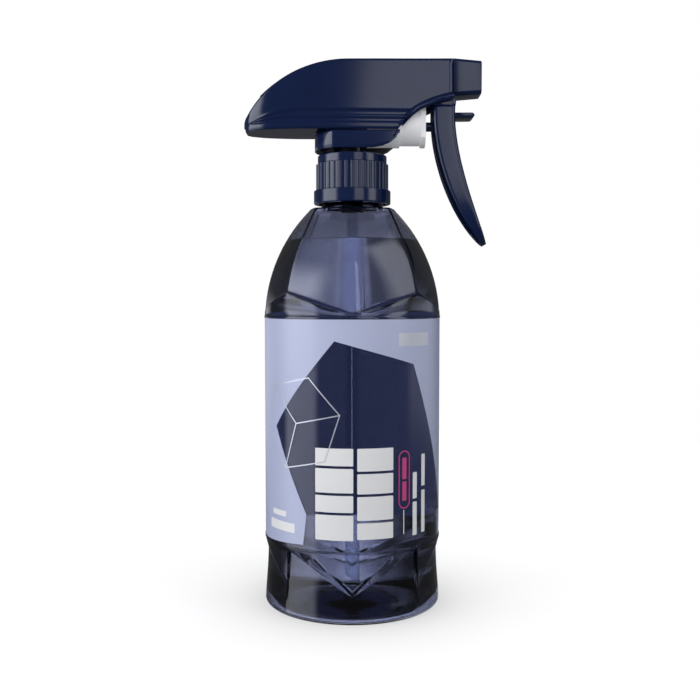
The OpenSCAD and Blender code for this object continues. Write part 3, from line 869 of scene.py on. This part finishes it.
def shroud_point(i, j):
    """Place of the grid's point i along the plan and j up the side, in mm."""
    x, half = PLAN[i]
    top = back_height(x)
    last = FLUTES[-1]
    edge = min(1.35, 0.3 * max(0.01, top - HEAD_AXIS))
    width_top = last[1] - 0.0078 * max(0, top - edge - last[0])
    if j < len(FLUTES):
        level, width = FLUTES[j]
        z = min(flute_height(level, x), top - edge)
    else:
        z, width = 0, width_top
        low = min(flute_height(last[0], x), top - edge)
        k = j - len(FLUTES) + 1
        if k <= UPPER_ROWS:
            t = k / UPPER_ROWS
            z = lerp(low, top - edge, t)
            width = lerp(last[1], width_top, t) + 0.012 * math.sin(math.pi * t)
        elif k <= UPPER_ROWS + EDGE_ROWS:
            turn = math.radians(90 * (k - UPPER_ROWS) / EDGE_ROWS)
            z = top - edge + edge * math.sin(turn)
            half -= edge * (1 - math.cos(turn)) / width
        else:
            t = (k - UPPER_ROWS - EDGE_ROWS) / TOP_ROWS
            z = top + 0.25 * math.sin(math.pi / 2 * t) * min(1, half / 12)
            half = max(0, half - edge / width) * (1 - t)
    return Vector((x, max(0, half) * width, max(z, lower_height(x))))


def grid_skin(columns, rows, place):
    """A grid of points, each moved to place(i, j) in mm."""
    bm = bmesh.new()
    bmesh.ops.create_grid(bm, x_segments=columns - 1, y_segments=rows - 1, size=0.5)
    for v in bm.verts:
        i = round((v.co.x + 0.5) * (columns - 1))
        j = round((v.co.y + 0.5) * (rows - 1))
        v.co = Vector(place(i, j)) * MM
    bmesh.ops.remove_doubles(bm, verts=bm.verts, dist=GRID_MERGE)
    bmesh.ops.dissolve_degenerate(bm, edges=bm.edges, dist=GRID_MERGE)
    return bm


def both_sides(bm):
    every = bm.verts[:] + bm.edges[:] + bm.faces[:]
    bmesh.ops.mirror(bm, geom=every, axis="Y", merge_dist=GRID_MERGE)
    bmesh.ops.remove_doubles(bm, verts=bm.verts, dist=GRID_MERGE)
    return bm


shell_rows = len(FLUTES) + UPPER_ROWS + EDGE_ROWS + TOP_ROWS
shroud = piece(both_sides(grid_skin(len(PLAN), shell_rows, shroud_point)), "shroud_shell", "head",
               navy_pp, ["shroud"], sharp=50)
wall(shroud, SHROUD_WALL)

# %% [markdown]
# Under the tail the shell is closed by a flat floor, with a notch in front where the pump passes.
# The skirt hangs below it: round behind, with flat sides that run forward on either side of the
# pump. Its lower edge rises at the front.

# %% Skirt
SKIRT_LOW = 182.25
SKIRT_TOP = 189.3
CHIN = bezier((8, SKIRT_LOW), (15.5, 183), (17.8, 186), (18.7, SKIRT_TOP), 20)
SKIRT_PLAN = arc((0, 0), 15.1, 180, 121, 16) + [
    (-5.5, 13.25), (-3, 13.35), (0, 13.35), (4, 13.35), (8, 13.35), (12, 13.3), (15, 13.25), (17, 13.2),
    (18.65, 13.1)]
# each row's place up the side, from 0 to 1, and how far it is taken in
SKIRT_ROWS = [(0, 0.25), (0.03, 0), (0.25, 0), (0.5, 0), (0.75, 0), (0.88, 0), (0.94, 0.12), (0.98, 0.4),
              (1, 0.85)]


def skirt_point(i, j):
    x, y = SKIRT_PLAN[i]
    t, inset = SKIRT_ROWS[j]
    low = read(CHIN, x) if x > CHIN[0][0] else SKIRT_LOW
    shrink = 1 - inset / math.hypot(x, y)
    return x * shrink, y * shrink, lerp(min(low, SKIRT_TOP - 0.2), SKIRT_TOP, t)


skirt = piece(both_sides(grid_skin(len(SKIRT_PLAN), len(SKIRT_ROWS), skirt_point)), "shroud_skirt", "head",
              navy_pp, sharp=50)
wall(skirt, 1.4)

# %% Floor of the tail
PUMP_GAP = 8.8


def tail_floor():
    bm = bmesh.new()
    front, notch_end = 18, 5.5
    half = [(x, y * 0.955) for x, y in PLAN if -42.8 < x < front]
    half += [(front, PUMP_GAP), (notch_end, PUMP_GAP)]
    outline = half + [(x, -y) for x, y in reversed(half)]
    outline_face(bm, [(x, y, 189.85) for x, y in outline])
    bmesh.ops.inset_region(bm, faces=bm.faces[:], thickness=0.6 * MM)
    flat = max(bm.faces, key=lambda f: f.calc_area())
    for v in flat.verts:
        v.co.z -= 0.12 * MM
    thickened(bm, (0, 0, 1.2 * MM))
    return bm


piece(tail_floor(), "shroud_floor", "head", navy_pp)

# %% [markdown]
# Two raised pads on the back give the palm a hold. The back is an arc there, so a pad's section is
# spun about the centre of that arc, and the pad stays equally high all along.

# %% Grip pads
def grip_pad(start, end, low=49.3, high=50.35, half_width=7.0):
    """A raised pad on the shroud's back: its section, spun about the back's own centre."""
    bm = bmesh.new()
    x, z = BACK_CENTRE
    corner = 0.35
    section = [(low, -half_width), (high - corner, -half_width), (high, -half_width + corner),
               (high, half_width - corner), (high - corner, half_width), (low, half_width)]
    turn = math.radians(start)
    outline_face(bm, [(x + r * math.cos(turn), y, z + r * math.sin(turn)) for r, y in section])
    bmesh.ops.spin(bm, geom=bm.faces[:] + bm.verts[:] + bm.edges[:], cent=(x * MM, 0, z * MM),
                   axis=(0, -1, 0), dvec=(0, 0, 0), angle=math.radians(end - start), steps=18,
                   use_duplicate=False)
    return bm


for name, start, end in (("top", 93, 122.3), ("tail", 125.3, 135)):
    piece(grip_pad(start, end), "grip_pad_" + name, "head", navy_pp)

# %% [markdown]
# ## Plates
# Several small parts are flat mouldings with softened edges: an outline in the side view, given a
# thickness and a small bevel all round.

# %% Side plates
def side_plate(outline, y0, y1, edge):
    bm = bmesh.new()
    outline_face(bm, [(x, y0, z) for x, z in outline])
    thickened(bm, (0, (y1 - y0) * MM, 0))
    soften(bm, [e for e in bm.edges if e.calc_face_angle(0) > math.radians(25)], edge, 2)
    return bm


def joined(*parts):
    """Several bmeshes as one."""
    whole = bmesh.new()
    for part in parts:
        mesh = bpy.data.meshes.new("part")
        part.to_mesh(mesh)
        part.free()
        whole.from_mesh(mesh)
        bpy.data.meshes.remove(mesh)
    return whole


# the wall that closes the shroud's front, above the slot for the trigger
front_wall = side_plate([(38.3, 206.2), (39.6, 206.2), (39.6, 217.4), (38.3, 217.4)], -8.6, 8.6, 0.1)
piece(front_wall, "shroud_front", "head", navy_pp)

# %% [markdown]
# ## Trigger
# The trigger is a curved lever with a channel behind it, about a millimetre thick, so its edge
# shows as a fine rim. A grid again: down the lever in one direction, and round the channel from
# its rear edge to the middle of its front in the other. A small guard sticks out in front to keep
# drips off the fingers.

# %% Trigger lever
LEVER_FRONT = bezier((40.9, 199.7), (39.9, 184.0), (47.4, 162.5), (54.2, 145.4), 44)
LEVER_REAR = bezier((32.2, 199.7), (31.6, 183.0), (38.5, 160.0), (52.6, 144.5), 44)
LEVER_ACROSS = 16
PIVOT = (34.8, 204.5)


def lever_half_width(z):
    """Half the lever's width: even at the top, then rounded off towards its tip."""
    half, taper_from, tip = 8.1, 172, 144.4
    t = max(0.0, (taper_from - z) / (taper_from - tip))
    return half * math.sqrt(max(0, 1 - t ** 5)) * (1 - 0.08 * t)


def lever_point(i, j, across=LEVER_ACROSS, corner_rows=6):
    """Point i down the lever and j round it: the side, then the rounded corner, then the front."""
    fx, fz = LEVER_FRONT[i]
    rx, rz = LEVER_REAR[i]
    half = max(0.02, min(lever_half_width(fz), lever_half_width(rz)))
    out = Vector((fx - rx, 0, fz - rz))
    depth = out.length
    out.normalize()
    corner = min(1.7, depth * 0.35, half * 0.6)
    side_rows = (across - corner_rows) // 2
    if j < side_rows:
        t = j / side_rows
        back, y = lerp(depth, corner, t), half
    elif j <= side_rows + corner_rows:
        turn = math.radians(90 * (j - side_rows) / corner_rows)
        back, y = corner * (1 - math.sin(turn)), half - corner * (1 - math.cos(turn))
    else:
        t = (j - side_rows - corner_rows) / (across - 1 - side_rows - corner_rows)
        back, y = -0.25 * math.sin(t * math.pi / 2), (half - corner) * (1 - t)
    place = Vector((fx, 0, fz)) - out * back
    return place.x, y, place.z


lever = piece(both_sides(grid_skin(len(LEVER_FRONT), LEVER_ACROSS, lever_point)), "trigger_lever",
              "trigger", navy_pp, ["trigger"], sharp=60)
wall(lever, 1.1)

# %% Trigger head, guard, nose and pins
def cheek_outline():
    """Side of the fork that holds the pivot pin: a round eye on a tapered foot."""
    return arc(PIVOT, 2.9, -20, 200, 14) + [(32.3, 199.2), (39.9, 199.2), (39.3, 202.6)]


def peg(radius, x, z, y0, y1):
    """A round pin along Y with a small bevel at its ends."""
    bm = bmesh.new()
    bmesh.ops.create_cone(bm, cap_ends=True, segments=32, radius1=radius * MM, radius2=radius * MM,
                          depth=(y1 - y0) * MM)
    soften(bm, [e for e in bm.edges if e.calc_face_angle(0) > 1], 0.15, 2)
    for v in bm.verts:
        v.co = Vector((x * MM + v.co.x, (y0 + y1) / 2 * MM + v.co.z, z * MM - v.co.y))
    return bm


brow = side_plate([(37.8, 199.0), (40.6, 199.0), (40.9, 199.6), (41.1, 201.6), (40.2, 203.2),
                   (38.4, 202.8)], -7.6, 7.6, 0.25)
cheeks = [side_plate(cheek_outline(), y, y + 1.1, 0.2) for y in (-7.75, 6.65)]
guard = side_plate([(40.2, 195.4), (48.0, 195.5), (49.0, 196.45), (48.2, 197.45), (40.2, 197.45)],
                   -5, 5, 0.45)
nose = side_plate(arc((38.9, 192.5), 2.6, 100, 260, 12) + [(40.6, 189.9), (40.6, 195.1)], -2.5, 2.5, 0.3)
pins = [peg(1.8, *PIVOT, y, y + 2.6) for y in (-6.9, 4.3)]
piece(joined(brow, *cheeks, guard, nose, *pins), "trigger_head", "trigger", navy_pp)

# %% [markdown]
# ## Nozzle
# A square cap with softened edges that tapers slightly to the front. The orifice sits in a small
# cone at its middle. The front face has a round hole bridged into its square outline, so that the
# cone can be pushed in from there.

# %% Nozzle cap
def nozzle_cap():
    bm = bmesh.new()
    back, front, axis = 39.95, 51.4, 211.2
    bmesh.ops.create_cube(bm, size=1)
    for v in bm.verts:
        at_front = v.co.x > 0
        half_w, half_h = (5.75, 6.55) if at_front else (6.5, 7.4)
        v.co = Vector((front if at_front else back, math.copysign(half_w, v.co.y),
                       axis + math.copysign(half_h, v.co.z))) * MM
    long_edges = [e for e in bm.edges if abs(e.verts[0].co.x - e.verts[1].co.x) > 5 * MM]
    soften(bm, long_edges, 1.15, 1)
    soften(bm, [e for e in bm.edges if e.calc_face_angle(0) > math.radians(30)], 0.3, 3)
    face = max((f for f in bm.faces if f.normal.x > 0.99), key=lambda f: f.calc_area())
    rim = list(face.edges)
    bmesh.ops.delete(bm, geom=[face], context="FACES_ONLY")
    hole = bmesh.ops.create_circle(bm, segments=48, radius=3.3 * MM)["verts"]
    for v in hole:
        v.co = Vector((front * MM, v.co.x, axis * MM + v.co.y))
    circle = list({e for v in hole for e in v.link_edges})
    bmesh.ops.bridge_loops(bm, edges=rim + circle)
    for radius, x in ((3.1, 51.2), (1.0, 49.3), (0.42, 49.2), (0.4, 47.2)):
        made = bmesh.ops.extrude_edge_only(bm, edges=circle)["geom"]
        circle = [g for g in made if isinstance(g, bmesh.types.BMEdge)]
        for v in {v for e in circle for v in e.verts}:
            radial = Vector((0, v.co.y, v.co.z - axis * MM)).normalized() * radius * MM
            v.co = Vector((x * MM, radial.y, axis * MM + radial.z))
    bmesh.ops.edgeloop_fill(bm, edges=circle)
    bmesh.ops.triangulate(bm, faces=[f for f in bm.faces if len(f.verts) > 4])
    return bm


piece(nozzle_cap(), "nozzle_cap", "nozzle", navy_pp, ["nozzle"], sharp=35)

# %% [markdown]
# ## Springs
# Both springs are wound from round steel wire. Spin makes a coil too: it turns the wire's section
# about the spring's axis and moves it along a little at each step.

# %% Springs
def coil(radius, wire, start, end, turns, height):
    """A round wire wound along X, from start to end in mm."""
    bm = bmesh.new()
    section = bmesh.ops.create_circle(bm, segments=10, radius=wire * MM)["verts"]
    for v in section:
        v.co += Vector((start + wire, radius, height)) * MM
    steps = turns * 30  # thirty steps make a turn look round
    bmesh.ops.spin(bm, geom=section + bm.edges[:], cent=(0, 0, height * MM), axis=(1, 0, 0),
                   dvec=((end - start - 2 * wire) / steps * MM, 0, 0), angle=math.tau * turns, steps=steps)
    bmesh.ops.holes_fill(bm, edges=[e for e in bm.edges if e.is_boundary], sides=10)
    return bm


return_spring = piece(coil(3.9, 0.32, 8.05, 15.95, 5, 192.5), "return_spring_coil", "head", steel,
                      ["return_spring"])
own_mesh(return_spring)
outlet_spring = piece(coil(1.15, 0.2, 31.2, 36.9, 5, 211.2), "outlet_spring_coil", "head", steel,
                      ["outlet_spring"])
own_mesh(outlet_spring)

# %% [markdown]
# ## Parts that keep their CAD mesh
# The ribbed collar, the pump and everything else inside have the right shape already. They only
# need their finish, which goes in the material slots of the frame's own objects.

# %% Finishes for the CAD parts
FINISH = [
    (navy_pp, ["collar", "piston_rod"]),
    (black_pp, ["chassis"]),
    (white_pe, ["gasket", "tube_retainer", "pump_cylinder", "piston", "outlet_valve", "spinner"]),
    (cloudy_pe, ["dip_tube"]),
    (steel, ["inlet_ball"]),
    (black_rubber, ["cylinder_seal", "piston_seal", "nozzle_seal"]),
]
for material, names in FINISH:
    for name in names:
        nodes[name].data.materials.clear()
        nodes[name].data.materials.append(material)
    print(material.name, "on", ", ".join(names))
